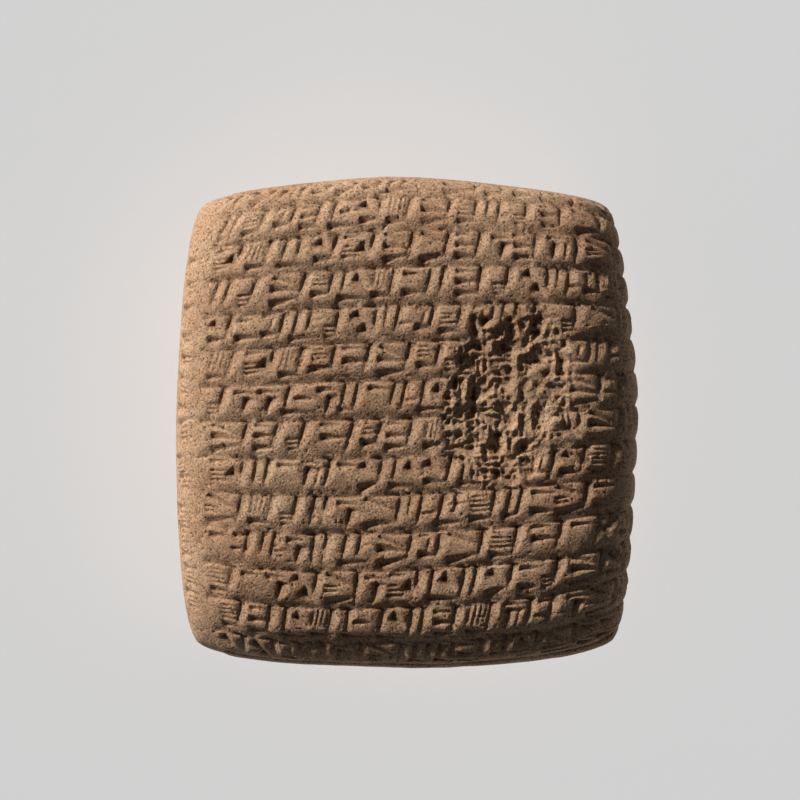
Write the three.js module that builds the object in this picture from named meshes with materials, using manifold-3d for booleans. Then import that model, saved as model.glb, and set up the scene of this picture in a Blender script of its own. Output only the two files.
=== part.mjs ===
// A square clay tablet, pressed all over with rows of short wedge strokes that spell nothing.
//
// The clay is one pillow of two shallow domes that meet at the tablet's rim. Each dome is covered by
// a flat "page" measured in millimetres along the clay, so that rows run on round the edges as they
// do on a tablet turned in the hand. A stroke is the mark of a reed's corner: a slanting pyramid with
// a deep head and a tail that runs out to nothing.
//
// Millimetres. +X is along the rows, +Y is up the page, +Z is out of the written face.
// The tablet lies on its back, on a small worn flat, with the origin under its middle.

import * as THREE from 'three';
import { mergeVertices } from 'three/addons/utils/BufferGeometryUtils.js';
import Module from 'manifold-3d';

// ---------------------------------------------------------------- driving dimensions

const WIDTH = 48; // along the rows
const HEIGHT = 51; // down the page
const FACE_RISE = 8.6; // rim to the top of the written face
const BACK_DROP = 9.4; // rim to the back's lowest point, before its flat was worn
const WORN_OFF = 0.25; // clay worn off the back, where the tablet rests
const WORN_REACH = 11; // the strokes are worn away this far round that flat

const SIDE_BARREL = 0.092; // how far the left and right sides draw in towards the corners
const END_BARREL = 0.097; // the same for the top and bottom ends
const CORNER_POWER_RIM = 12; // squareness of the outline: 2 is an ellipse, and more is squarer
const CORNER_POWER_FACE = 5; // the corners of each face fall away sooner than its sides
const CORNER_EASE = 4; // higher keeps the rows straight nearer to the corners
const FACE_POWER = 4; // how flat the written face stays before it turns down
const BACK_POWER = 3; // the back is rounder
const EVEN_FLOW = 4; // keeps rows parallel as they turn over an edge

// The hand's unevenness round the outline.
const HAND_SWELLS = [
  { lobes: 1, size: 0.24, bearing: -100 },
  { lobes: 3, size: 0.13, bearing: -47 },
  { lobes: 4, size: 0.08, bearing: 143 },
  { lobes: 5, size: 0.1, bearing: 60 },
  { lobes: 8, size: 0.06, bearing: 23 },
];

const ROW_PITCH = 3.85;
const FIRST_RULING = 27.25; // page height of the top ruling
const RULINGS = 15;
const ROW_TILT = 0.035; // rise of the rows to the right
const ROW_BOW = 0.0009; // and the further rise that grows along them
const RULE_DEPTH = 0.42;
const RULE_LIP = 0.14; // the roll of clay above a ruling
const RULE_TOP = 0.34; // from a ruling up to the crest of that roll
const RULE_FOOT = 0.55; // from a ruling down to the row's own surface
const MARGIN = -20.6; // where the rows start
const GROUP_GAP = 0.22;

const UPRIGHT_TURN = -99; // degrees: tails lean a little left of straight down
const HEAD_BACK = 0.3; // how far a head's wall reaches back from its deepest point
const CLEAR_OF_CLAY = 1.35; // a stroke's tool reaches this many times as far as the clay it cuts

// The crumbled hollow right of the middle of the written face, an oval that leans a little.
const HOLLOW = { x: 10.4, y: 2.6, halfWidth: 5.2, halfHeight: 7.6, lean: -18, lumps: 13 };

const COLUMNS = 12; // facets across a page
const COLUMN_SPREAD = 0.72; // below 1 the facets are narrower towards the sides, where the clay turns
const BARE_ENDS = [0.9, 2.2]; // lines of facets this far in from the end of a page
const SECTION_STEPS = 200;
const SAME_POINT = 1e-4;
const CHANCE_MIX = [12.9898, 78.233, 37.719, 4.581, 91.347];

const HALF_WIDTH = WIDTH / 2;
const HALF_HEIGHT = HEIGHT / 2;
const RIM_HEIGHT = BACK_DROP - WORN_OFF;
const HOLLOW_LEAN = new THREE.Vector2(1, 0).rotateAround(new THREE.Vector2(), HOLLOW.lean * (Math.PI / 180));

// A steady made-up share from 0 to 1 for whole-number keys, the same on every run.
function chance(...keys) {
  const mixed = keys.reduce((sum, key, place) => sum + key * CHANCE_MIX[place], 0);
  const wave = Math.sin(mixed) * 43758.5453;
  return wave - Math.floor(wave);
}

// ---------------------------------------------------------------- the pillow

// The quarter section from a dome's top to the rim: arc length, distance out and height, each over
// the half size that it belongs to.
function sectionOf(rise, power) {
  const half = (HALF_WIDTH + HALF_HEIGHT) / 2;
  const table = [[0, 0, 1]];
  for (let i = 1; i <= SECTION_STEPS; i++) {
    const angle = (Math.PI / 2) * (i / SECTION_STEPS);
    const scale = (Math.sin(angle) ** power + Math.cos(angle) ** power) ** (-1 / power);
    const out = Math.sin(angle) * scale;
    const up = i === SECTION_STEPS ? 0 : Math.cos(angle) * scale;
    const [lastReach, lastOut, lastUp] = table[i - 1];
    table.push([lastReach + Math.hypot(out - lastOut, ((up - lastUp) * rise) / half), out, up]);
  }
  return table;
}

const FACE = { side: 1, rise: FACE_RISE, section: sectionOf(FACE_RISE, FACE_POWER), worn: 0 };
const BACK = { side: -1, rise: BACK_DROP, section: sectionOf(BACK_DROP, BACK_POWER), worn: WORN_REACH };

// Both pages end at the rim, at the same reach from the middle.
const RIM_REACH = (FACE.section.at(-1)[0] + BACK.section.at(-1)[0]) / 2;
const PAGE_HALF_WIDTH = RIM_REACH * HALF_WIDTH;
const PAGE_HALF_HEIGHT = RIM_REACH * HALF_HEIGHT;

function alongSection(section, reach) {
  const length = (reach / RIM_REACH) * section.at(-1)[0];
  let i = 1;
  while (i < section.length - 1 && section[i][0] < length) i++;
  const [before, outBefore, upBefore] = section[i - 1];
  const [after, outAfter, upAfter] = section[i];
  const share = Math.min(1, (length - before) / (after - before));
  return [outBefore + (outAfter - outBefore) * share, upBefore + (upAfter - upBefore) * share];
}

// The point of the smooth clay at (x, y) on a dome's page.
function clayAt(dome, x, y) {
  let p = x / HALF_WIDTH;
  let q = y / HALF_HEIGHT;
  const reach = Math.max(Math.abs(p), Math.abs(q), 1e-9);
  const nearRim = reach / RIM_REACH;
  const cornering = (power) => (Math.abs(p / reach) ** power + Math.abs(q / reach) ** power) ** (1 / power);
  const drawnIn = 1 + (1 / cornering(CORNER_POWER_RIM) - 1) * nearRim ** CORNER_EASE;
  const fallen = 1 + (cornering(CORNER_POWER_FACE) - 1) * (1 - nearRim ** CORNER_EASE);
  p *= drawnIn;
  q *= drawnIn;
  const [out] = alongSection(dome.section, reach);
  const [, up] = alongSection(dome.section, Math.min(RIM_REACH, reach * fallen));
  const turned = reach - out; // the length of page used up in turning down over the edge
  const a = p - Math.sign(p) * turned * Math.abs(p / reach) ** EVEN_FLOW;
  const b = q - Math.sign(q) * turned * Math.abs(q / reach) ** EVEN_FLOW;
  const around = Math.atan2(b, a);
  let swell = 1;
  for (const { lobes, size, bearing } of HAND_SWELLS)
    swell += (size / HALF_WIDTH) * Math.cos(lobes * around - THREE.MathUtils.degToRad(bearing)) * out ** 2;
  return new THREE.Vector3(
    HALF_WIDTH * a * (1 - SIDE_BARREL * b * b) * swell,
    HALF_HEIGHT * b * (1 - END_BARREL * a * a) * swell,
    RIM_HEIGHT + dome.side * dome.rise * up,
  );
}

function outwardAt(dome, x, y) {
  const step = 0.05;
  const across = clayAt(dome, x + step, y).sub(clayAt(dome, x - step, y));
  const upPage = clayAt(dome, x, y + step).sub(clayAt(dome, x, y - step));
  return across.cross(upPage).multiplyScalar(dome.side).normalize();
}

// ---------------------------------------------------------------- rows

// Page height of a ruling at x along it. Near the ends of the page the rulings run straight.
function rulingAt(ruling, x) {
  const level = FIRST_RULING - ROW_PITCH * ruling;
  const nearEnd = Math.min(1, Math.abs(level / PAGE_HALF_HEIGHT)) ** 6;
  return level + (ROW_TILT * x + ROW_BOW * x * x) * (1 - nearEnd);
}

// The lines of facets down a page, each as its height at x and how far it stands proud: the crest,
// the bottom and the foot of each ruling, and bare lines at both ends.
function pageLines() {
  const ends = [...BARE_ENDS, 0].map((inFrom) => PAGE_HALF_HEIGHT - inFrom);
  const lines = ends.flatMap((end) => [end, -end].map((height) => ({ heightAt: () => height, proud: 0 })));
  for (let ruling = 0; ruling < RULINGS; ruling++)
    for (const [offset, proud] of [
      [RULE_TOP, RULE_LIP],
      [0, -RULE_DEPTH],
      [-RULE_FOOT, 0],
    ])
      if (Math.abs(rulingAt(ruling, 0) + offset) < PAGE_HALF_HEIGHT - BARE_ENDS.at(-1) - RULE_FOOT)
        lines.push({ heightAt: (x) => rulingAt(ruling, x) + offset, proud });
  return lines.sort((one, other) => other.heightAt(0) - one.heightAt(0));
}

// A dome's clay as rows of points, with its rulings pressed in.
function domePoints(dome) {
  return pageLines().map(({ heightAt, proud }) =>
    Array.from({ length: COLUMNS + 1 }, (_, i) => {
      const side = (2 * i) / COLUMNS - 1;
      const x = PAGE_HALF_WIDTH * Math.sign(side) * Math.abs(side) ** COLUMN_SPREAD;
      const y = heightAt(x);
      const point = clayAt(dome, x, y);
      const ruled = x > MARGIN - 2 && i < COLUMNS && Math.hypot(x, y) > dome.worn;
      if (ruled) point.addScaledVector(outwardAt(dome, x, y), proud);
      return point;
    }),
  );
}

// Two domes stitched at the rim, which both pages reach at the same points.
function pillowGeometry() {
  const positions = [];
  for (const dome of [FACE, BACK]) {
    const rows = domePoints(dome);
    for (let j = 0; j + 1 < rows.length; j++)
      for (let i = 0; i < COLUMNS; i++) {
        const corners = [rows[j][i], rows[j + 1][i], rows[j + 1][i + 1], rows[j][i + 1]];
        if (dome.side < 0) corners.reverse();
        for (const k of [0, 1, 2, 0, 2, 3]) positions.push(...corners[k].toArray());
      }
  }
  return new THREE.BufferGeometry().setAttribute('position', new THREE.Float32BufferAttribute(positions, 3));
}

// ---------------------------------------------------------------- strokes

// A stroke: its head on the page, the way its tail runs in degrees, its length and depth, and the
// widths of its gentle and steep walls at the head.
function stroke(x, y, turn, length, depth, gentle, steep) {
  return { x, y, turn, length, depth, gentle, steep };
}

const upright = (x, y, length) => stroke(x, y, UPRIGHT_TURN, length, 0.62, 0.78, 0.3);
const level = (x, y, length) => stroke(x, y, 2, length, 0.45, 0.52, 0.24);
const slanting = (x, y, turn, length) => stroke(x, y, turn, length, 0.5, 0.55, 0.3);
const nick = (x, y) => stroke(x, y, -42, 1.1, 0.55, 0.62, 0.62);

// Groups of strokes that stand side by side in a row. Each fills a width, and y is the share of the
// row's height below its ruling. None of them is a sign.
const GROUPS = [
  { width: 1.4, strokes: [upright(0.35, 0.1, 2.9)] },
  { width: 2.4, strokes: [upright(0.35, 0.1, 2.8), upright(1.4, 0.12, 2.7)] },
  { width: 3.1, strokes: [upright(2.2, 0.12, 2.7)] },
  { width: 3.4, strokes: [level(0.2, 0.8, 2.7), upright(2.7, 0.14, 2.3)] },
  { width: 2.0, strokes: [nick(0.5, 0.3)] },
  { width: 3.0, strokes: [level(0.1, 0.76, 2.8)] },
  { width: 3.9, strokes: [slanting(0.3, 0.2, -22, 3.3), slanting(0.3, 0.84, 20, 3.2)] },
  { width: 2.6, strokes: [upright(1.1, 0.3, 2.1)] },
];

const PAGES = [
  { dome: FACE, key: 1, firstRow: 0, lastRow: 13, rowEnd: 20.5, rowEndSpread: 5.5 },
  { dome: BACK, key: 2, firstRow: 5, lastRow: 8, rowEnd: 12, rowEndSpread: 5 },
];

// 0 in the middle of the hollow and 1 at its edge.
function acrossHollow(x, y) {
  const [right, up] = [x - HOLLOW.x, y - HOLLOW.y];
  const across = (right * HOLLOW_LEAN.x + up * HOLLOW_LEAN.y) / HOLLOW.halfWidth;
  const along = (up * HOLLOW_LEAN.x - right * HOLLOW_LEAN.y) / HOLLOW.halfHeight;
  return Math.hypot(across, along);
}

// Every stroke of a page, row by row.
function strokesOf(page) {
  const strokes = [];
  for (let row = page.firstRow; row <= page.lastRow; row++) {
    const end = page.rowEnd + page.rowEndSpread * chance(page.key, row, 1);
    let start = MARGIN + 0.8 * chance(page.key, row, 2);
    for (let place = 0; start < end; place++) {
      const group = GROUPS[Math.floor(GROUPS.length * chance(page.key, row, place, 3))];
      const stretch = 0.88 + 0.26 * chance(page.key, row, place, 4);
      for (const mark of group.strokes) {
        const x = start + mark.x * stretch;
        strokes.push({ ...mark, x, y: rulingAt(row, x) - ROW_PITCH * mark.y });
      }
      start += group.width * stretch + GROUP_GAP;
    }
  }
  return strokes.filter(({ x, y }) =>
    page.dome === FACE ? acrossHollow(x, y) > 0.8 : Math.hypot(x, y) > WORN_REACH + 1,
  );
}

// The worn line of strokes up the left edge, turned a quarter turn from the rows.
const EDGE_LINE = { head: -26.6, lowest: -21, highest: 20.5, strokes: 15, key: 3 };

function edgeStrokes() {
  return Array.from({ length: EDGE_LINE.strokes }, (_, i) => {
    const share = (i + 0.7 * chance(EDGE_LINE.key, i, 1)) / EDGE_LINE.strokes;
    const y = EDGE_LINE.lowest + (EDGE_LINE.highest - EDGE_LINE.lowest) * share;
    const x = EDGE_LINE.head + 0.9 * chance(EDGE_LINE.key, i, 2);
    const turn = -10 + 26 * chance(EDGE_LINE.key, i, 3);
    return stroke(x, y, turn, 2.2 + 1.2 * chance(EDGE_LINE.key, i, 4), 0.42, 0.5, 0.34);
  });
}

// ---------------------------------------------------------------- cutting

const wasm = await Module();
wasm.setup();

function solidOf(geometry) {
  const bare = new THREE.BufferGeometry();
  const source = geometry.index ? geometry.toNonIndexed() : geometry;
  bare.setAttribute('position', source.getAttribute('position'));
  const merged = mergeVertices(bare, SAME_POINT);
  const vertProperties = merged.getAttribute('position').array;
  const triVerts = new Uint32Array(merged.index.array);
  return new wasm.Manifold(new wasm.Mesh({ numProp: 3, vertProperties, triVerts }));
}

function geometryOf(solid) {
  const { vertProperties, triVerts } = solid.getMesh();
  const geometry = new THREE.BufferGeometry();
  geometry.setAttribute('position', new THREE.Float32BufferAttribute(vertProperties, 3));
  geometry.setIndex(new THREE.BufferAttribute(triVerts, 1));
  return geometry;
}

// The reed's corner that leaves a stroke: a pyramid, point down in the clay at the head.
function reedCorner(dome, { x, y, turn, length, depth, gentle, steep }) {
  const heading = THREE.MathUtils.degToRad(turn);
  const alongX = Math.cos(heading);
  const alongY = Math.sin(heading);
  const onClay = (along, across) =>
    clayAt(dome, x + along * alongX - across * alongY, y + along * alongY + across * alongX);
  const point = clayAt(dome, x, y).addScaledVector(outwardAt(dome, x, y), -depth);
  const [tail, left, right] = [onClay(length, 0), onClay(-HEAD_BACK, gentle), onClay(-HEAD_BACK, -steep)].map(
    (corner) => corner.sub(point).multiplyScalar(CLEAR_OF_CLAY).add(point),
  );
  const corners = [point, left, tail, point, right, left, point, tail, right, tail, left, right];
  if (dome.side < 0) corners.reverse();
  const positions = corners.flatMap((corner) => corner.toArray());
  return new THREE.BufferGeometry().setAttribute('position', new THREE.Float32BufferAttribute(positions, 3));
}

// A lump with a broken, uneven skin, in the shape of what has crumbled or chipped away.
function lump({ dome, x, y, out, radii, turn, key }) {
  const bare = new THREE.IcosahedronGeometry(1, 1);
  bare.deleteAttribute('normal');
  bare.deleteAttribute('uv');
  const geometry = mergeVertices(bare, SAME_POINT);
  const position = geometry.getAttribute('position');
  const corner = new THREE.Vector3();
  for (let i = 0; i < position.count; i++) {
    corner.fromBufferAttribute(position, i).multiplyScalar(1 + 0.34 * (chance(key, i, 5) - 0.5));
    position.setXYZ(i, ...corner);
  }
  const outward = outwardAt(dome, x, y);
  const facing = new THREE.Quaternion().setFromUnitVectors(new THREE.Vector3(0, 0, 1), outward);
  return geometry
    .scale(...radii)
    .rotateZ(THREE.MathUtils.degToRad(turn))
    .applyQuaternion(facing)
    .translate(...clayAt(dome, x, y).addScaledVector(outward, out));
}

// The clay of the crumbled hollow: overlapping lumps, spread evenly over its oval.
function crumbledLumps() {
  const goldenAngle = THREE.MathUtils.degToRad(137.5);
  return Array.from({ length: HOLLOW.lumps }, (_, i) => {
    const out = Math.sqrt((i + 0.5) / HOLLOW.lumps);
    const across = HOLLOW.halfWidth * out * Math.cos(i * goldenAngle);
    const along = HOLLOW.halfHeight * out * Math.sin(i * goldenAngle);
    const wide = 2.3 + 0.9 * chance(i, 31);
    return {
      dome: FACE,
      x: HOLLOW.x + across * HOLLOW_LEAN.x - along * HOLLOW_LEAN.y,
      y: HOLLOW.y + across * HOLLOW_LEAN.y + along * HOLLOW_LEAN.x,
      out: 0.45 + 0.3 * out + 0.25 * chance(i, 33),
      radii: [wide * 0.8, wide * 1.25, 1.2 + 0.5 * chance(i, 32)],
      turn: -35 + 30 * chance(i, 34),
      key: i,
    };
  });
}

// Chips along the rim and the corners.
const CHIPS = [
  { dome: FACE, x: 27.4, y: -3.2, out: 0.5, radii: [1.6, 1.3, 0.9], turn: 0, key: 24 },
  { dome: FACE, x: -27.2, y: 7.6, out: 0.5, radii: [1.7, 1.2, 0.9], turn: 15, key: 25 },
  { dome: FACE, x: -26.6, y: -12.4, out: 0.5, radii: [1.4, 2.2, 0.9], turn: 0, key: 26 },
  { dome: FACE, x: 25.6, y: -25.4, out: 0.6, radii: [1.5, 1.8, 1.0], turn: 40, key: 27 },
  { dome: BACK, x: 16.5, y: -21.5, out: 0.5, radii: [3.6, 2.4, 1.4], turn: 10, key: 28 },
];

function belowTheFlat() {
  const depth = 10;
  return new THREE.BoxGeometry(2 * WIDTH, 2 * HEIGHT, depth).translate(0, 0, -depth / 2);
}

function tabletGeometry() {
  const inRows = PAGES.flatMap((page) => strokesOf(page).map((mark) => reedCorner(page.dome, mark)));
  const onEdge = edgeStrokes().map((mark) => reedCorner(FACE, mark));
  const lumps = [...crumbledLumps(), ...CHIPS].map(lump);
  const tools = [...inRows, ...onEdge, ...lumps, belowTheFlat()].map(solidOf);
  const cut = solidOf(pillowGeometry()).subtract(wasm.Manifold.union(tools));
  const [whole] = cut.decompose().sort((one, other) => other.volume() - one.volume()); // no loose crumbs
  const geometry = geometryOf(whole);
  geometry.computeBoundingBox();
  const middle = geometry.boundingBox.getCenter(new THREE.Vector3());
  return geometry.translate(-middle.x, -middle.y, 0);
}

// ---------------------------------------------------------------- the tablet

const clay = new THREE.MeshStandardMaterial({ color: '#a9794f', roughness: 0.93, metalness: 0 });

const tablet = new THREE.Mesh(tabletGeometry(), clay);
tablet.name = 'tablet';

const root = new THREE.Group();
root.add(tablet);
export default root;
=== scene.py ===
"""A small square clay tablet, pressed all over with rows of wedge strokes that spell nothing.

Run as a script, this builds the tablet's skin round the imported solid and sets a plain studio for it.
The clay is laid out as two flat pages, one for each face, that meet round the rim. The rulings and
strokes are pressed into a page and worn first. The page is then wrapped round the pillow shape of the
solid, and the hollow and the coarse grain are added there. The finest sand is in the material. Lengths
are millimetres until the points of the mesh are written, in metres.
"""

import math

import bmesh
import bpy
import numpy as np
from bpy.props import FloatProperty, FloatVectorProperty, IntProperty, PointerProperty
from mathutils import Matrix, Vector


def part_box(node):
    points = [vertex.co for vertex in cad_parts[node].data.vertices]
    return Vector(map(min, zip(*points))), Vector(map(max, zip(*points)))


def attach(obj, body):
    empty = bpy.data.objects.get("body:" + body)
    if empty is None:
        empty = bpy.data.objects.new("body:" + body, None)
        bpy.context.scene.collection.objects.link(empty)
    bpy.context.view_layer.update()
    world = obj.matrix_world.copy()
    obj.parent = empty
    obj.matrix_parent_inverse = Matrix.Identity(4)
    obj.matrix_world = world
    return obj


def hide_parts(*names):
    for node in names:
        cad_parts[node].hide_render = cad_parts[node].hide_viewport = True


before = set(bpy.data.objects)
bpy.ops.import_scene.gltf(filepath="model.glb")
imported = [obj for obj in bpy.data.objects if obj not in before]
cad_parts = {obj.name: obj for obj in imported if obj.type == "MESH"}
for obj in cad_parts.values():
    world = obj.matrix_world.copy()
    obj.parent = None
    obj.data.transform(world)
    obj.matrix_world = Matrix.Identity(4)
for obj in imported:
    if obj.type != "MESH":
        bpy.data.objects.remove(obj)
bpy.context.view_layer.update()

bl_info = {
    "name": "Pressed Clay Tablet",
    "version": (1, 0, 0),
    "blender": (4, 5, 0),
    "location": "3D View > Sidebar > Tablet",
    "description": "Builds a clay tablet with rows of pressed strokes, and a plain studio for it",
    "category": "Mesh",
}

MM = 0.001
LOW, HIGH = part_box("tablet")
MIDDLE = (LOW + HIGH) / 2

# ------------------------------------------------------------------ sizes in millimetres

WIDTH = 48.0  # along the rows
HEIGHT = 51.0  # down the page
FACE_RISE = 8.6  # rim to the top of the written face
BACK_DROP = 9.4  # rim to the back's lowest point, before its flat was worn
WORN_OFF = 0.25  # clay worn off the back, where the tablet rests
WORN_REACH = 11.0  # the back's rulings are worn away this far from its middle

SIDE_BARREL = 0.092  # share by which the left and right sides draw in toward their ends
END_BARREL = 0.097  # and the top and bottom ends toward theirs
CORNER_POWER_RIM = 12  # higher is squarer, for the corners at the rim
CORNER_POWER_FACE = 5  # and for the contours of the faces
CORNER_EASE = 4  # how late toward the rim the corners draw in
FACE_POWER = 4  # how full the written face's section is
BACK_POWER = 3
EVEN_FLOW = 4  # how late toward the rim the rows turn over it
# Uneven swelling of the outline from the maker's hands: lobes, size and bearing of each.
HAND_SWELLS = ((1, 0.24, -100), (3, 0.13, -47), (4, 0.08, 143), (5, 0.1, 60), (8, 0.06, 23))

ROW_PITCH = 3.85
FIRST_RULING = 27.25  # above the middle of the page
RULINGS = 15
ROW_TILT = 0.035  # rise for each millimetre to the right
ROW_BOW = 0.0009
ROWS_STRAIGHTEN = 6  # how late toward the ends of the page the rulings run straight
# Heights across a ruling, from the row below it to the row above it: the lower row and its short steep
# wall, the groove, and the long rounded foot of the upper row.
RULE_ACROSS = (-1.93, -1.3, -0.8, -0.42, -0.2, -0.08, 0.02, 0.12, 0.3, 0.55, 0.85, 1.25, 1.93)
RULE_HEIGHTS = (0.12, 0.1, 0.06, 0.0, -0.08, -0.32, -0.34, -0.28, -0.17, -0.06, 0.03, 0.09, 0.12)
MARGIN = -20.6  # where the rows start
GROUP_GAP = 0.22

UPRIGHT_TURN = -102  # heading in degrees, from the right
LEVEL_TURN = 2
THIN_LEVEL_TURN = 3
THIN_UPRIGHT_TURN = -103
NICK_TURN = -40
NICK_LENGTH = 1.9
HEAD_BACK = 0.3  # how far a stroke's head slopes back from its deepest point
KEEL_POWER = 1.2  # how a stroke grows shallower toward its tail
WALL_POWER = 0.85  # and narrower
SWELL = 0.42  # how far the clay rises past a gentle wall, for each millimetre of the stroke's depth
SWELL_REACH = 0.9
SLUMP = 0.3  # and how far it sinks before a steep wall
SLUMP_REACH = 0.7
PRESSED_ROUND = 1.1  # how far round a stroke the clay moves
GROOVE_SHADE_REACH = 0.5  # painted shade darkens the clay where it lies lower than its average this far round
CRISP_BLUR = 0.035
WORN_BLUR = 0.07

HOLLOW = {"x": 10.4, "y": 2.6, "half_width": 5.2, "half_height": 7.6, "lean": -18}

CELL = 0.05  # spacing of the page's finest samples
CELLS_PER_FACE = 2  # the skin takes every second sample
SEAM_GAP = 0.002  # the pages' edges are joined where they are closer than this
SECTION_STEPS = 200
CHANCE_MIX = (12.9898, 78.233, 37.719, 4.581, 91.347)
CHANCE_SCALE = 43758.5453
NOISE_SIDE = 64  # cells along the noise's repeating block

# The stage: places and sizes in metres, angles in degrees, lens and sensor in millimetres.
KEY_DISTANCE = 2.0
KEY_AZIMUTH = 140
KEY_SIZE = 0.16
WASH_DISTANCE = 1.5
WASH_AZIMUTH = 90
WASH_ELEVATION = 80
WASH_SIZE = 1.5
FLOOR_SIZE = 3.0
FRAME_WIDTH = 0.0837
CAMERA_OFFSET = (-0.00073, 0.0023)
LENS = 120
SENSOR = 36

HALF_WIDTH = WIDTH / 2
HALF_HEIGHT = HEIGHT / 2
RIM_HEIGHT = BACK_DROP - WORN_OFF


def chance(*keys):
    """A steady made-up share from 0 to 1 for whole-number keys, the same on every run."""
    mixed = sum(key * mix for key, mix in zip(keys, CHANCE_MIX))
    wave = math.sin(mixed) * CHANCE_SCALE
    return wave - math.floor(wave)


def smooth_step(low, high, value):
    """0 below low, 1 above high, and an even rise between them."""
    share = np.clip((value - low) / (high - low), 0, 1)
    return share * share * (3 - 2 * share)


def clay_noise(points, size, seed):
    """Smooth unevenness from -1 to 1 at each point, in lumps about size across."""
    rng = np.random.default_rng(seed)
    lattice = rng.uniform(-1, 1, (NOISE_SIDE, NOISE_SIDE, NOISE_SIDE)).astype(np.float32)
    scaled = points / size + rng.uniform(0, NOISE_SIDE, 3)
    cell = np.floor(scaled).astype(np.int64)
    share = scaled - cell
    share = share * share * (3 - 2 * share)
    near = cell % NOISE_SIDE
    far = (cell + 1) % NOISE_SIDE
    total = 0
    for i, wx in ((near[..., 0], 1 - share[..., 0]), (far[..., 0], share[..., 0])):
        for j, wy in ((near[..., 1], 1 - share[..., 1]), (far[..., 1], share[..., 1])):
            for k, wz in ((near[..., 2], 1 - share[..., 2]), (far[..., 2], share[..., 2])):
                total = total + lattice[i, j, k] * wx * wy * wz
    return total


def blurred(field, sigma):
    """The field softened by a bell curve of that many samples."""
    reach = max(1, int(math.ceil(3 * sigma)))
    taps = np.exp(-0.5 * (np.arange(-reach, reach + 1) / sigma) ** 2)
    taps /= taps.sum()
    for axis in (0, 1):
        pad = [(reach, reach) if axis == other else (0, 0) for other in (0, 1)]
        padded = np.pad(field, pad, mode="edge")
        length = field.shape[axis]
        field = sum(
            tap * np.take(padded, range(start, start + length), axis=axis) for start, tap in enumerate(taps)
        )
    return field


# ------------------------------------------------------------------ the pillow


class Dome:
    """One of the two faces: which way it looks, and its quarter section from top to rim."""

    def __init__(self, side, rise, power):
        self.side = side
        self.rise = rise
        angle = np.linspace(0, math.pi / 2, SECTION_STEPS + 1)
        scale = (np.sin(angle) ** power + np.cos(angle) ** power) ** (-1 / power)
        self.out = np.sin(angle) * scale
        self.up = np.cos(angle) * scale
        self.up[-1] = 0
        half = (HALF_WIDTH + HALF_HEIGHT) / 2
        steps = np.hypot(np.diff(self.out), np.diff(self.up) * rise / half)
        self.length = np.concatenate(([0], np.cumsum(steps)))

    def at(self, reach):
        """Distance out and height, for a reach along the page."""
        length = reach / RIM_REACH * self.length[-1]
        return np.interp(length, self.length, self.out), np.interp(length, self.length, self.up)


FACE = Dome(1, FACE_RISE, FACE_POWER)
BACK = Dome(-1, BACK_DROP, BACK_POWER)
RIM_REACH = (FACE.length[-1] + BACK.length[-1]) / 2
PAGE_HALF_WIDTH = RIM_REACH * HALF_WIDTH
PAGE_HALF_HEIGHT = RIM_REACH * HALF_HEIGHT


def clay_at(dome, x, y):
    """Where the smooth clay is for each place on a dome's page."""
    p = x / HALF_WIDTH
    q = y / HALF_HEIGHT
    reach = np.maximum(np.maximum(np.abs(p), np.abs(q)), 1e-9)
    near_rim = (reach / RIM_REACH) ** CORNER_EASE

    def cornering(power):
        return (np.abs(p / reach) ** power + np.abs(q / reach) ** power) ** (1 / power)

    drawn_in = 1 + (1 / cornering(CORNER_POWER_RIM) - 1) * near_rim
    fallen = 1 + (cornering(CORNER_POWER_FACE) - 1) * (1 - near_rim)
    p = p * drawn_in
    q = q * drawn_in
    out, _ = dome.at(reach)
    _, up = dome.at(np.minimum(RIM_REACH, reach * fallen))
    turned = reach - out
    a = p - np.sign(p) * turned * np.abs(p / reach) ** EVEN_FLOW
    b = q - np.sign(q) * turned * np.abs(q / reach) ** EVEN_FLOW
    around = np.arctan2(b, a)
    swell = 1
    for lobes, size, bearing in HAND_SWELLS:
        swell = swell + size / HALF_WIDTH * np.cos(lobes * around - math.radians(bearing)) * out**2
    return np.stack(
        (
            HALF_WIDTH * a * (1 - SIDE_BARREL * b * b) * swell,
            HALF_HEIGHT * b * (1 - END_BARREL * a * a) * swell,
            RIM_HEIGHT + dome.side * dome.rise * up,
        ),
        axis=-1,
    )


def outward(dome, points):
    """Which way the smooth clay faces, from the page's points themselves."""
    across = np.gradient(points, axis=1)
    up_page = np.gradient(points, axis=0)
    normal = np.cross(across, up_page) * dome.side
    return normal / np.maximum(np.linalg.norm(normal, axis=-1, keepdims=True), 1e-12)


# ------------------------------------------------------------------ rows and strokes


def ruling_at(ruling, x):
    """Page height of a ruling at x. Near the ends of the page the rulings run straight."""
    height = FIRST_RULING - ROW_PITCH * ruling
    near_end = min(1, abs(height / PAGE_HALF_HEIGHT)) ** ROWS_STRAIGHTEN
    return height + (ROW_TILT * x + ROW_BOW * x * x) * (1 - near_end)


def stroke(x, y, turn, length, depth, gentle, steep):
    """One press of the reed's corner: its head, heading, size, and the widths of its two walls.

    In a group, x is in millimetres from the group's left and y is a share of the row, from its top.
    """
    return {"x": x, "y": y, "turn": turn, "length": length, "depth": depth, "gentle": gentle, "steep": steep}


def upright(x, y, length):
    return stroke(x, y, UPRIGHT_TURN, length, 0.5, 1.05, 0.12)


def level(x, y, length):
    return stroke(x, y, LEVEL_TURN, length, 0.4, 0.5, 0.16)


def slanting(x, y, turn, length):
    return stroke(x, y, turn, length, 0.4, 0.6, 0.2)


def nick(x, y):
    return stroke(x, y, NICK_TURN, NICK_LENGTH, 0.5, 0.9, 0.6)


def thin_level(x, y, length):
    return stroke(x, y, THIN_LEVEL_TURN, length, 0.24, 0.22, 0.13)


def thin_upright(x, y, length):
    return stroke(x, y, THIN_UPRIGHT_TURN, length, 0.26, 0.32, 0.13)


def level_comb(x, y, length, count, pitch=0.125):
    """Short level strokes one over the other, at a pitch that is a share of the row."""
    return [thin_level(x, y + pitch * i, length) for i in range(count)]


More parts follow.
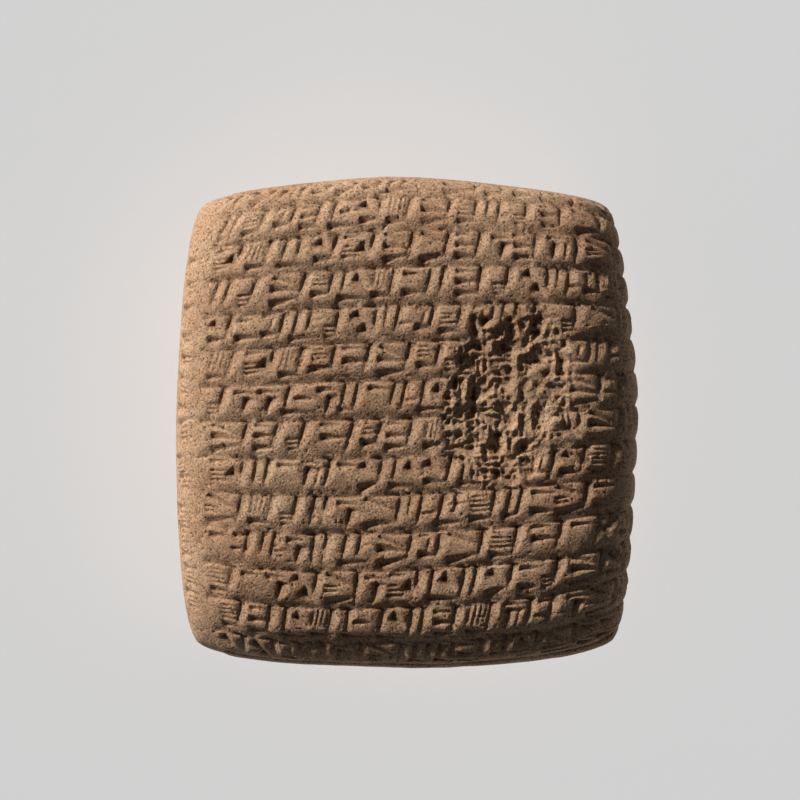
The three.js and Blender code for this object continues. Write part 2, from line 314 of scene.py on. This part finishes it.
def upright_comb(x, y, length, count, pitch=0.52):
    """Short upright strokes side by side, at a pitch in millimetres."""
    return [thin_upright(x + pitch * i, y, length) for i in range(count)]


# Groups of strokes that stand side by side in a row: how wide each is, the strokes that it always
# has, and the finer strokes that one of its kinds adds. None of them is a sign.
GROUPS = (
    (
        3.3,
        [upright(2.2, 0.02, 3.0), level(0.0, 0.76, 2.2)],
        (
            level_comb(0.1, 0.15, 1.9, 4),
            [level(0.1, 0.14, 2.0), level(0.1, 0.44, 1.9)],
            upright_comb(0.3, 0.05, 1.9, 4),
        ),
    ),
    (
        2.6,
        [upright(0.3, 0.0, 3.1), upright(1.5, 0.02, 2.9)],
        ([], [level(-0.2, 0.74, 1.3)], [nick(0.4, 0.3)]),
    ),
    (
        3.7,
        [level(0.1, 0.12, 2.8), upright(2.9, 0.02, 3.1)],
        (
            [level(0.3, 0.46, 2.3)],
            level_comb(0.1, 0.4, 1.3, 3) + [nick(1.7, 0.42)],
            [upright(0.5, 0.26, 2.1), thin_upright(1.7, 0.3, 1.8)],
        ),
    ),
    (
        3.3,
        [level(0.0, 0.8, 3.2), upright(0.5, 0.03, 2.3)],
        (
            [nick(1.6, 0.24)],
            [upright(1.9, 0.03, 2.2), thin_level(2.3, 0.3, 0.8)],
            [level(1.2, 0.4, 1.7)],
        ),
    ),
    (
        4.1,
        [slanting(0.2, 0.1, -22, 3.3), slanting(0.2, 0.86, 15, 3.3)],
        (
            [slanting(0.2, 0.44, -4, 3.1), upright(3.4, 0.02, 3.0)],
            [upright(3.4, 0.02, 3.0)],
            level_comb(0.1, 0.4, 1.2, 2) + [upright(3.3, 0.02, 2.9)],
        ),
    ),
    (
        2.5,
        [upright(1.9, 0.06, 2.5), level(0.1, 0.64, 1.8)],
        (
            [level(0.1, 0.1, 1.8), thin_upright(0.9, 0.2, 1.5)],
            level_comb(0.2, 0.12, 1.4, 3),
            [upright(0.5, 0.1, 2.0)],
        ),
    ),
    (
        2.9,
        [nick(0.2, 0.18), upright(2.2, 0.02, 2.9)],
        ([nick(0.9, 0.56)], [level(0.0, 0.7, 2.0)], [slanting(0.1, 0.84, 28, 2.2)]),
    ),
    (
        2.7,
        [upright(1.3, 0.02, 2.9)],
        (
            [level(0.1, 0.14, 2.5), thin_level(-0.1, 0.5, 1.1)],
            level_comb(0.0, 0.5, 1.0, 3),
            [level(1.5, 0.5, 1.2), upright(0.1, 0.02, 2.2)],
        ),
    ),
    (
        2.2,
        [level(0.0, 0.2, 2.1)],
        ([], [level(0.0, 0.72, 2.0)], [upright(0.9, 0.36, 2.0)]),
    ),
)

ROWS = (
    {"dome": FACE, "key": 1, "first": 0, "last": 13, "end": 20.5, "spread": 5.5},
    {"dome": BACK, "key": 2, "first": 5, "last": 8, "end": 12, "spread": 5},
)
EDGE_LINE = {"head": -25.0, "lowest": -21, "highest": 20.5, "strokes": 15, "key": 3}


def across_hollow(x, y):
    """0 in the middle of the hollow and 1 at its edge."""
    lean = math.radians(HOLLOW["lean"])
    right = x - HOLLOW["x"]
    up = y - HOLLOW["y"]
    across = (right * math.cos(lean) + up * math.sin(lean)) / HOLLOW["half_width"]
    along = (up * math.cos(lean) - right * math.sin(lean)) / HOLLOW["half_height"]
    return np.hypot(across, along)


def strokes_in_rows(rows):
    """Every stroke of a page's rows, in the order they were pressed."""
    pressed = []
    key = rows["key"]
    for row in range(rows["first"], rows["last"] + 1):
        end = rows["end"] + rows["spread"] * chance(key, row, 1)
        start = MARGIN + 0.8 * chance(key, row, 2)
        place = 0
        while start < end:
            width, always, kinds = GROUPS[int(len(GROUPS) * chance(key, row, place, 3))]
            stretch = 0.88 + 0.26 * chance(key, row, place, 4)
            finer = kinds[int(len(kinds) * chance(key, row, place, 6))]
            for order, mark in enumerate(finer + always):
                x = start + mark["x"] * stretch
                y = ruling_at(row, x) - ROW_PITCH * mark["y"]
                turn = mark["turn"] + 5 * (chance(key, row, place, 7 + order) - 0.5)
                depth = mark["depth"] * (0.88 + 0.3 * chance(key, row, place, 20 + order))
                length = mark["length"] * (0.95 + 0.2 * chance(key, row, place, 40 + order))
                pressed.append({**mark, "x": x, "y": y, "turn": turn, "depth": depth, "length": length})
            start += width * stretch + GROUP_GAP
            place += 1
    return pressed


def edge_strokes():
    """The worn line of strokes that runs up the left edge, with their heads to the left."""
    pressed = []
    key = EDGE_LINE["key"]
    for i in range(EDGE_LINE["strokes"]):
        share = (i + 0.7 * chance(key, i, 1)) / EDGE_LINE["strokes"]
        y = EDGE_LINE["lowest"] + (EDGE_LINE["highest"] - EDGE_LINE["lowest"]) * share
        x = EDGE_LINE["head"] + 0.9 * chance(key, i, 2)
        turn = -10 + 26 * chance(key, i, 3)
        length = 2.2 + 1.2 * chance(key, i, 4)
        pressed.append(stroke(x, y, turn, length, 0.42, 0.5, 0.34))
        for j in range(int(4 * chance(key, i, 5))):
            pressed.append(stroke(x + 0.6, y - 0.55 * (j + 1), turn, 0.7 * length, 0.3, 0.26, 0.16))
    return pressed


# ------------------------------------------------------------------ pressing the pages


class Page:
    """A face rolled out flat, as a grid of heights over the smooth clay."""

    def __init__(self, dome):
        self.dome = dome
        columns = int(round(2 * PAGE_HALF_WIDTH / CELL / CELLS_PER_FACE)) * CELLS_PER_FACE + 1
        lines = int(round(2 * PAGE_HALF_HEIGHT / CELL / CELLS_PER_FACE)) * CELLS_PER_FACE + 1
        self.xs = np.linspace(-PAGE_HALF_WIDTH, PAGE_HALF_WIDTH, columns)
        self.ys = np.linspace(-PAGE_HALF_HEIGHT, PAGE_HALF_HEIGHT, lines)
        self.x, self.y = np.meshgrid(self.xs, self.ys)
        flat = np.stack((self.x, self.y, np.full_like(self.x, 10.0 * dome.side)), axis=-1)
        self.wander_x = self.x + 0.1 * clay_noise(flat, 2.2, 11)
        self.wander_y = self.y + 0.1 * clay_noise(flat, 2.2, 12)
        self.height = np.zeros_like(self.x)

    def rule(self):
        """Presses the rulings, with the roll of clay above each."""
        flat = np.stack((self.x, self.y, np.full_like(self.x, 5.0 * self.dome.side)), axis=-1)
        force = 0.8 + 0.45 * clay_noise(flat, 2.6, 13) + 0.15 * clay_noise(flat, 0.9, 15)
        wander = self.wander_y + 0.16 * clay_noise(flat, 4.5, 14) + 0.06 * clay_noise(flat, 1.3, 16)
        ruled = smooth_step(MARGIN - 1.0, MARGIN - 0.1, self.x)
        if self.dome is BACK:
            ruled = ruled * smooth_step(WORN_REACH - 1.5, WORN_REACH, np.hypot(self.x, self.y))
        for ruling in range(RULINGS):
            over = wander - ruling_at(ruling, self.x)
            near = np.abs(over) <= ROW_PITCH / 2
            profile = np.interp(over, RULE_ACROSS, RULE_HEIGHTS)
            self.height = np.where(near, profile * ruled * np.where(profile < 0, force, 1), self.height)

    def press(self, mark):
        """Presses one stroke: it cuts its own shape, and moves the clay on both sides of it."""
        heading = math.radians(mark["turn"])
        cos, sin = math.cos(heading), math.sin(heading)
        ends = (mark["x"], mark["x"] + mark["length"] * cos)
        left = np.searchsorted(self.xs, min(ends) - PRESSED_ROUND)
        right = np.searchsorted(self.xs, max(ends) + PRESSED_ROUND)
        ends = (mark["y"], mark["y"] + mark["length"] * sin)
        bottom = np.searchsorted(self.ys, min(ends) - PRESSED_ROUND)
        top = np.searchsorted(self.ys, max(ends) + PRESSED_ROUND)
        if right <= left or top <= bottom:
            return
        window = (slice(bottom, top), slice(left, right))
        dx = self.wander_x[window] - mark["x"]
        dy = self.wander_y[window] - mark["y"]
        along = dx * cos + dy * sin
        across = dy * cos - dx * sin
        share = np.clip(1 - along / mark["length"], 0, 1)
        keel = mark["depth"] * share**KEEL_POWER
        wall = np.where(across > 0, mark["gentle"], mark["steep"]) * share**WALL_POWER
        slope = keel / np.maximum(wall, 1e-6)
        tool = np.maximum(np.abs(across) * slope, -along * mark["depth"] / HEAD_BACK) - keel
        tool = np.where(share <= 0, 9, tool)
        past = np.maximum(np.abs(across) - wall, 0)
        swell = SWELL * np.maximum(1 - past / SWELL_REACH, 0)
        slump = SLUMP * np.maximum(1 - past / SLUMP_REACH, 0)
        moved = np.where(across > 0, swell, -slump) * keel * smooth_step(-0.5, 0.0, along)
        self.height[window] = np.minimum(self.height[window] + moved, tool)

    def wear(self):
        """Rounds the ridges between the strokes: crisp at the lower right, worn elsewhere."""
        flat = np.stack((self.x, self.y, np.full_like(self.x, 3.0 * self.dome.side)), axis=-1)
        crisp = blurred(self.height, CRISP_BLUR / CELL)
        soft = blurred(self.height, WORN_BLUR / CELL)
        cut = np.clip(-soft / 0.25, 0, 1)
        shoulder = 0.1 * blurred(cut, 0.22 / CELL) * (1 - cut)
        soft = soft - shoulder
        crisp = crisp - shoulder
        broad = blurred(soft, 0.36 / CELL)
        crisp = crisp - 0.15 * np.maximum(crisp - broad - 0.03, 0)
        rounded = soft - 0.45 * np.maximum(soft - broad - 0.03, 0)
        worn = 1 - 0.75 * smooth_step(0, 16, 0.6 * self.x - 0.8 * self.y)
        worn = np.clip(worn + 0.3 * clay_noise(flat, 6.0, 17), 0, 1)
        self.height = crisp + (rounded - crisp) * worn


def build_page(dome, marks):
    """A page with its rulings and strokes pressed, and worn since."""
    page = Page(dome)
    page.rule()
    for mark in marks:
        page.press(mark)
    page.wear()
    return page


# ------------------------------------------------------------------ what the years did


def fade_to_rim(page, other, reach=1.6):
    """Makes both pages agree where they meet, by easing each to their mean near the rim."""
    inward = np.minimum(
        PAGE_HALF_WIDTH - np.abs(page.x),
        PAGE_HALF_HEIGHT - np.abs(page.y),
    )
    share = 1 - smooth_step(0, reach, inward)
    mean = (page.height + other.height) / 2
    page.eased = page.height + (mean - page.height) * share


def crumble(page, points):
    """Breaks the hollow out of the written face, down to a lumpy floor."""
    uneven = 0.22 * clay_noise(points, 2.6, 21) + 0.12 * clay_noise(points, 1.1, 22)
    across = across_hollow(page["x"], page["y"]) + uneven
    lost = 1 - smooth_step(1.12, 1.32, across)
    slant = points @ np.array(((0.8, -0.45, 0), (0.6, 0.9, 0), (0, 0, 1))).T
    lumps = 0.34 * clay_noise(slant * (1.5, 0.8, 1), 2.3, 23)
    lumps += 0.26 * (1 - 2.2 * np.abs(clay_noise(points, 1.3, 24)))
    lumps += 0.16 * (1 - 2.2 * np.abs(clay_noise(points, 0.62, 25)))
    lumps += 0.07 * clay_noise(points, 0.3, 26)
    floor = -0.85 + 0.35 * np.clip(across, 0, 1.2) ** 2 + lumps
    page["height"] = page["height"] * (1 - 0.72 * lost) + floor * lost


def build_skin():
    """Wraps both pressed pages round the pillow, as grids of points in millimetres."""
    pages = [build_page(ROWS[0]["dome"], strokes_in_rows(ROWS[0]) + edge_strokes())]
    pages.append(build_page(ROWS[1]["dome"], strokes_in_rows(ROWS[1])))
    for page, other in (pages, pages[::-1]):
        fade_to_rim(page, other)
    skins = []
    for page in pages:
        pick = slice(None, None, CELLS_PER_FACE)
        grid = {"x": page.x[pick, pick], "y": page.y[pick, pick], "height": page.eased[pick, pick]}
        points = clay_at(page.dome, grid["x"], grid["y"])
        normal = outward(page.dome, points)
        if page.dome is FACE:
            crumble(grid, points)
        fine = clay_noise(points, 0.3, 32)
        grain = 0.012 * clay_noise(points, 0.7, 31)
        grain -= 0.1 * smooth_step(0.62, 0.85, fine)
        grain += 0.035 * clay_noise(points, 1.7, 33)
        patch = smooth_step(-0.3, 0.5, clay_noise(points, 5.0, 34))
        height = grid["height"] + grain * (0.6 + 0.8 * patch)
        # Painted shade: deep is how far each point lies below the clay round it, and the material darkens
        # the grooves by it.
        sunk = blurred(height, GROOVE_SHADE_REACH / (CELL * CELLS_PER_FACE)) - height
        grid["deep"] = smooth_step(0.04, 0.28, blurred(sunk, 1.0))
        grid["points"] = points + normal * height[..., None]
        skins.append(grid)
    return skins


def join_pages(skins):
    """One bmesh of both pages: two grids, stitched where they meet at the rim."""
    lines, columns = skins[0]["x"].shape
    shell = bmesh.new()
    for skin, level_at in zip(skins, (1, -1)):
        place = Matrix.Translation((0, 0, level_at))
        bmesh.ops.create_grid(shell, x_segments=columns - 1, y_segments=lines - 1, size=1, matrix=place)
    mesh = bpy.data.meshes.new("tablet_clay")
    shell.to_mesh(mesh)
    shell.free()
    flat = np.empty(len(mesh.vertices) * 3, np.float32)
    mesh.vertices.foreach_get("co", flat)
    flat = flat.reshape(-1, 3)
    column = np.rint((flat[:, 0] + 1) / 2 * (columns - 1)).astype(int)
    line = np.rint((flat[:, 1] + 1) / 2 * (lines - 1)).astype(int)
    on_back = flat[:, 2] < 0
    face, back = (skin["deep"][line, column] for skin in skins)
    layer = mesh.attributes.new("deep", "FLOAT", "POINT")
    layer.data.foreach_set("value", np.where(on_back, back, face).astype(np.float32))
    face, back = (skin["points"][line, column] for skin in skins)
    placed = settle(np.where(on_back[:, None], back, face))
    mesh.vertices.foreach_set("co", (placed * MM).astype(np.float32).ravel())
    shell = bmesh.new()
    shell.from_mesh(mesh)
    rim = [vertex for vertex in shell.verts if vertex.is_boundary]
    bmesh.ops.remove_doubles(shell, verts=rim, dist=SEAM_GAP * MM)
    bmesh.ops.recalc_face_normals(shell, faces=shell.faces)
    shell.to_mesh(mesh)
    shell.free()
    return mesh


def settle(placed):
    """Sets the skin on the solid's own box, lying on its worn flat."""
    low, high = np.array(LOW) / MM, np.array(HIGH) / MM
    placed[:, 2] = np.maximum(placed[:, 2], low[2])
    least, most = placed.min(0), placed.max(0)
    shrink = np.minimum(1, (high - low) / (most - least))
    shrink[2] = 1
    centre = np.array((*(least + most)[:2] / 2, 0))
    placed = (placed - centre) * shrink + np.array((*(low + high)[:2] / 2, 0))
    placed[:, 2] = np.minimum(placed[:, 2], high[2])
    return placed


def thin_out(piece, triangles):
    """Collapses the smoothest places until about that many triangles are left, all inside the box."""
    thinner = piece.modifiers.new("Thin out", "DECIMATE")
    thinner.ratio = triangles / (2 * len(piece.data.polygons))
    evaluated = piece.evaluated_get(bpy.context.evaluated_depsgraph_get())
    mesh = bpy.data.meshes.new_from_object(evaluated)
    mesh.name = piece.data.name
    for vertex in mesh.vertices:
        vertex.co = [min(max(value, low), high) for value, low, high in zip(vertex.co, LOW, HIGH)]
    piece.modifiers.clear()
    old = piece.data
    piece.data = mesh
    bpy.data.meshes.remove(old)


def press_tablet(settings):
    """The tablet's skin as one piece, in metres, in place of the solid of the same shape."""
    mesh = join_pages(build_skin())
    piece = bpy.data.objects.new("tablet_clay", mesh)
    bpy.context.scene.collection.objects.link(piece)
    thin_out(piece, settings.triangles)
    piece.data.shade_smooth()
    piece.data.materials.append(dry_clay(settings))
    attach(piece, "root")
    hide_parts("tablet")


# ------------------------------------------------------------------ materials


def linear(colour):
    """A linear colour from an sRGB hex value."""
    value = int(colour.lstrip("#"), 16)
    channels = ((value >> shift & 255) / 255 for shift in (16, 8, 0))
    return (*(c / 12.92 if c <= 0.04045 else ((c + 0.055) / 1.055) ** 2.4 for c in channels), 1)


def add_node(tree, kind, settings=None, links=None):
    """Adds a node, sets its properties and sockets, and links its inputs."""
    node = tree.nodes.new(kind)
    for name, value in (settings or {}).items():
        if hasattr(node, name):
            setattr(node, name, value)
        else:
            node.inputs[name].default_value = value
    for name, source in (links or {}).items():
        tree.links.new(source, node.inputs[name])
    return node


def dry_clay(settings):
    """Dry, unglazed clay: patches of two body colours, sand grains, and painted shade darkening the grooves.
    """
    material = bpy.data.materials.new("Dry sandy clay")
    material.use_nodes = True
    tree = material.node_tree
    tree.nodes.clear()
    coordinates = add_node(tree, "ShaderNodeTexCoord").outputs["Object"]

    def noise(size_mm, detail=2.0, roughness=0.5):
        return add_node(
            tree,
            "ShaderNodeTexNoise",
            {"Scale": 1 / (size_mm * MM), "Detail": detail, "Roughness": roughness},
            {"Vector": coordinates},
        ).outputs["Fac"]

    def ramp(value, *stops):
        node = add_node(tree, "ShaderNodeValToRGB", links={"Fac": value})
        elements = node.color_ramp.elements
        while len(elements) < len(stops):
            elements.new(0.5)
        for element, (position, colour) in zip(elements, stops):
            element.position = position
            element.color = linear(colour) if isinstance(colour, str) else (*colour, 1)
        return node.outputs["Color"]

    def tinted(factor, first, second):
        node = add_node(tree, "ShaderNodeMix", {"data_type": "RGBA", "blend_type": "MULTIPLY"})
        node.inputs[0].default_value = factor
        tree.links.new(first, node.inputs[6])
        tree.links.new(second, node.inputs[7])
        return node.outputs[2]

    # Body colour drifts over patches about 7 mm across.
    body = ramp(noise(7, 4.0), (0.3, settings.clay_dark), (0.7, settings.clay_pale))
    # Sand grains about 0.17 mm across, each of one tint, a few of them dark.
    sand_scale = {"Scale": 1 / (0.17 * MM)}
    sand = add_node(tree, "ShaderNodeTexVoronoi", sand_scale, {"Vector": coordinates}).outputs
    speck = add_node(tree, "ShaderNodeSeparateColor", links={"Color": sand["Color"]}).outputs[0]
    tints = ramp(
        speck, (0.0, "#6b5c50"), (0.08, "#b8b0a8"), (0.25, "#e2deda"), (0.8, "#f0eeea"), (0.96, "#ffffff")
    )
    # Soft mottling about 0.22 mm across.
    tone = ramp(noise(0.22, 3.0, 0.8), (0.34, "#9d958c"), (0.5, "#ececec"), (0.66, "#ffffff"))
    colour = tinted(0.8, body, tints)
    colour = tinted(0.75, colour, tone)
    # Painted shade: the colour darkens where the grooves lie deepest, where shadow falls.
    deep = add_node(tree, "ShaderNodeAttribute", {"attribute_name": "deep"}).outputs["Fac"]
    shade = ramp(deep, (0.0, "#ffffff"), (1.0, "#a8988a"))
    colour = tinted(1.0, colour, shade)
    # The bump stands 0.05 mm at most: roughness 0.24 mm across, with each sand grain proud of it.
    rough = noise(0.24, 3.0, 0.75)
    grain = add_node(tree, "ShaderNodeMath", {"operation": "MULTIPLY_ADD"}, {0: sand["Distance"], 2: rough})
    grain.inputs[1].default_value = -0.7
    bump = add_node(
        tree, "ShaderNodeBump", {"Strength": 1.0, "Distance": 0.05 * MM}, {"Height": grain.outputs[0]}
    )
    shader = add_node(
        tree,
        "ShaderNodeBsdfPrincipled",
        {"Roughness": 0.92, "Specular IOR Level": 0.2},
        {"Base Color": colour, "Normal": bump.outputs["Normal"]},
    )
    add_node(tree, "ShaderNodeOutputMaterial", links={"Surface": shader.outputs["BSDF"]})
    return material


def plain_material(name, colour):
    """A dull surface of one colour."""
    material = bpy.data.materials.new(name)
    material.use_nodes = True
    shader = material.node_tree.nodes["Principled BSDF"]
    shader.inputs["Base Color"].default_value = linear(colour)
    shader.inputs["Roughness"].default_value = 0.95
    shader.inputs["Specular IOR Level"].default_value = 0.1
    return material


# ------------------------------------------------------------------ stage


def linked_light(name, power, colour, azimuth, elevation, distance, size, thing):
    """A soft light that falls on one object only, and is blocked by nothing else."""
    lamp = bpy.data.lights.new(name, "AREA")
    lamp.energy = power
    lamp.color = linear(colour)[:3]
    lamp.size = size
    light = bpy.data.objects.new(name, lamp)
    azimuth, elevation = math.radians(azimuth), math.radians(elevation)
    flat = math.cos(elevation)
    toward = Vector((math.cos(azimuth) * flat, math.sin(azimuth) * flat, math.sin(elevation)))
    light.location = MIDDLE + distance * toward
    light.rotation_euler = (-toward).to_track_quat("-Z", "Y").to_euler()
    bpy.context.scene.collection.objects.link(light)
    for use in ("receiver_collection", "blocker_collection"):
        group = bpy.data.collections.new(name + "_" + use)
        group.objects.link(thing)
        setattr(light.light_linking, use, group)


def set_stage(settings):
    """Pale floor, a raking light on the tablet, a wash on the floor, and the camera straight above."""
    scene = bpy.context.scene
    scene.view_settings.view_transform = "Standard"
    scene.view_settings.look = "Medium High Contrast"
    floor_mesh = bpy.data.meshes.new("floor")
    grid = bmesh.new()
    bmesh.ops.create_grid(grid, x_segments=1, y_segments=1, size=FLOOR_SIZE)
    grid.to_mesh(floor_mesh)
    grid.free()
    floor = bpy.data.objects.new("floor", floor_mesh)
    floor.data.materials.append(plain_material("Pale paper", "#d4d4d4"))
    scene.collection.objects.link(floor)

    tablet = bpy.data.objects["tablet_clay"]
    height = math.degrees(settings.key_elevation)
    linked_light(
        "key", settings.key_power, "#fff6ea", KEY_AZIMUTH, height, KEY_DISTANCE, KEY_SIZE, tablet
    )
    linked_light(
        "floor_wash",
        settings.floor_power,
        "#ffffff",
        WASH_AZIMUTH,
        WASH_ELEVATION,
        WASH_DISTANCE,
        WASH_SIZE,
        floor,
    )

    world = bpy.data.worlds.new("studio")
    world.use_nodes = True
    background = world.node_tree.nodes["Background"]
    background.inputs["Color"].default_value = linear("#ffffff")
    background.inputs["Strength"].default_value = settings.ambient
    scene.world = world

    camera_data = bpy.data.cameras.new("camera")
    camera_data.lens = LENS
    camera_data.sensor_width = SENSOR
    camera = bpy.data.objects.new("camera", camera_data)
    camera.location = MIDDLE + Vector((*CAMERA_OFFSET, FRAME_WIDTH * LENS / SENSOR))
    scene.collection.objects.link(camera)
    scene.camera = camera


# ------------------------------------------------------------------ add-on


class TabletSettings(bpy.types.PropertyGroup):
    triangles: IntProperty(
        name="Triangles",
        description="How many triangles the skin keeps",
        default=195000,
        min=20000,
        max=199000,
    )
    clay_pale: FloatVectorProperty(
        name="Pale clay",
        description="Colour of the paler patches of clay",
        subtype="COLOR",
        size=3,
        min=0.0,
        max=1.0,
        default=linear("#dabfa6")[:3],
    )
    clay_dark: FloatVectorProperty(
        name="Dark clay",
        description="Colour of the darker patches of clay",
        subtype="COLOR",
        size=3,
        min=0.0,
        max=1.0,
        default=linear("#cdac93")[:3],
    )
    key_power: FloatProperty(
        name="Key light", description="Strength of the raking light", default=50.0, min=0.0, unit="POWER"
    )
    key_elevation: FloatProperty(
        name="Key height",
        description="How high the raking light stands over the floor",
        default=math.radians(20),
        subtype="ANGLE",
    )
    floor_power: FloatProperty(name="Floor wash", description="Strength of the floor's light", default=23.0)
    ambient: FloatProperty(name="Ambient", description="Strength of the light from all round", default=0.075)


class TABLET_OT_press(bpy.types.Operator):
    """Press the clay tablet"""

    bl_idname = "tablet.press"
    bl_label = "Press Tablet"

    def execute(self, context):
        press_tablet(context.scene.tablet_settings)
        return {"FINISHED"}


class TABLET_OT_stage(bpy.types.Operator):
    """Set the floor, the light and the camera"""

    bl_idname = "tablet.stage"
    bl_label = "Set Stage"

    def execute(self, context):
        set_stage(context.scene.tablet_settings)
        return {"FINISHED"}


class TABLET_PT_panel(bpy.types.Panel):
    bl_label = "Pressed Tablet"
    bl_idname = "TABLET_PT_panel"
    bl_space_type = "VIEW_3D"
    bl_region_type = "UI"
    bl_category = "Tablet"
    SHOWN = ("triangles", "clay_pale", "clay_dark", "key_power", "key_elevation", "floor_power", "ambient")

    def draw(self, context):
        settings = context.scene.tablet_settings
        for name in self.SHOWN:
            self.layout.prop(settings, name)
        self.layout.operator("tablet.press")
        self.layout.operator("tablet.stage")


CLASSES = (TabletSettings, TABLET_OT_press, TABLET_OT_stage, TABLET_PT_panel)


def register():
    for cls in CLASSES:
        bpy.utils.register_class(cls)
    bpy.types.Scene.tablet_settings = PointerProperty(type=TabletSettings)


def unregister():
    del bpy.types.Scene.tablet_settings
    for cls in reversed(CLASSES):
        bpy.utils.unregister_class(cls)


def main():
    register()
    bpy.ops.tablet.press()
    bpy.ops.tablet.stage()


if __name__ == "__main__":
    main()
